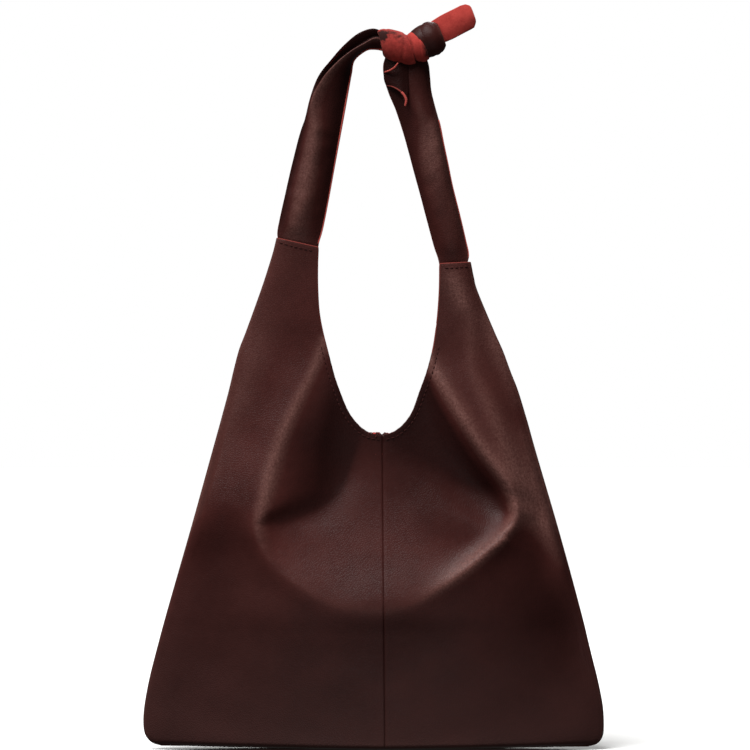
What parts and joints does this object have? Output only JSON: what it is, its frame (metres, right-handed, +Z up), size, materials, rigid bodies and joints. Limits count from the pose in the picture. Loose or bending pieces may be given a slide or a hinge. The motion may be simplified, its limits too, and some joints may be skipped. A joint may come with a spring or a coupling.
{
  "type": "hobo bag",
  "caption": "Unlined leather hobo bag with a deep U-shaped mouth between two rising arms and a shoulder strap tied in a knot, with a magnetic snap inside the rim.",
  "frame": {"origin": "on the surface the bag stands on, under the middle of its bounding box", "axes": "+Z up towards the knot, +X along the bag's width with the knot's free end on that side, the front faces -Y"},
  "size_m": [0.4204, 0.092, 0.6791],
  "materials": {
    "oxblood_leather": "full grain, satin, dark oxblood brown",
    "red_suede": "the flesh side of the same hide, a matt brick red",
    "thread": "dark waxed thread",
    "snap_metal": "antique brass"
  },
  "bodies": {
    "bag": {"front_left_panel": "oxblood_leather", "front_right_panel": "oxblood_leather", "back_left_panel": "oxblood_leather", "back_right_panel": "oxblood_leather", "left_strap_sewn_end": "oxblood_leather", "right_strap_sewn_end": "oxblood_leather", "front_snap_tab": "oxblood_leather", "snap_socket": "snap_metal", "snap_socket_washer": "snap_metal", "closure_tab_foot": "oxblood_leather", "front_mouth_stitching": "thread", "back_mouth_stitching": "thread", "left_strap_stitching": "thread", "right_strap_stitching": "thread", "front_centre_seam_thread": "thread", "back_centre_seam_thread": "thread", "edge_seam_thread": "thread"},
    "handle": {"left_strap": "oxblood_leather", "right_strap": "oxblood_leather", "knot_core": "oxblood_leather", "knot_first_turn": "red_suede", "knot_second_turn": "red_suede", "knot_end_turn": "oxblood_leather", "right_strap_tail": "oxblood_leather"},
    "tail": {"left_strap_tail": "red_suede"},
    "closure": {"closure_tab": "oxblood_leather", "snap_stud": "snap_metal", "snap_stud_cap": "snap_metal"}
  },
  "joints": [
    {"name": "handle_fold", "type": "hinge", "parent": "bag", "child": "handle", "pos_m": [-0.0695, 0, 0.474], "axis": [0.991, 0, -0.1337], "range_deg": [-150, 150]},
    {"name": "tail_bend", "type": "hinge", "parent": "handle", "child": "tail", "pos_m": [0.0645, 0, 0.657], "axis": [-0.454, 0, 0.891], "range_deg": [-60, 60], "stiffness_Nm_per_rad": 0.01},
    {"name": "closure_lift", "type": "hinge", "parent": "bag", "child": "closure", "pos_m": [0.0095, 0.0186, 0.2689], "axis": [-1, 0, 0], "range_deg": [0, 70]}
  ]
}
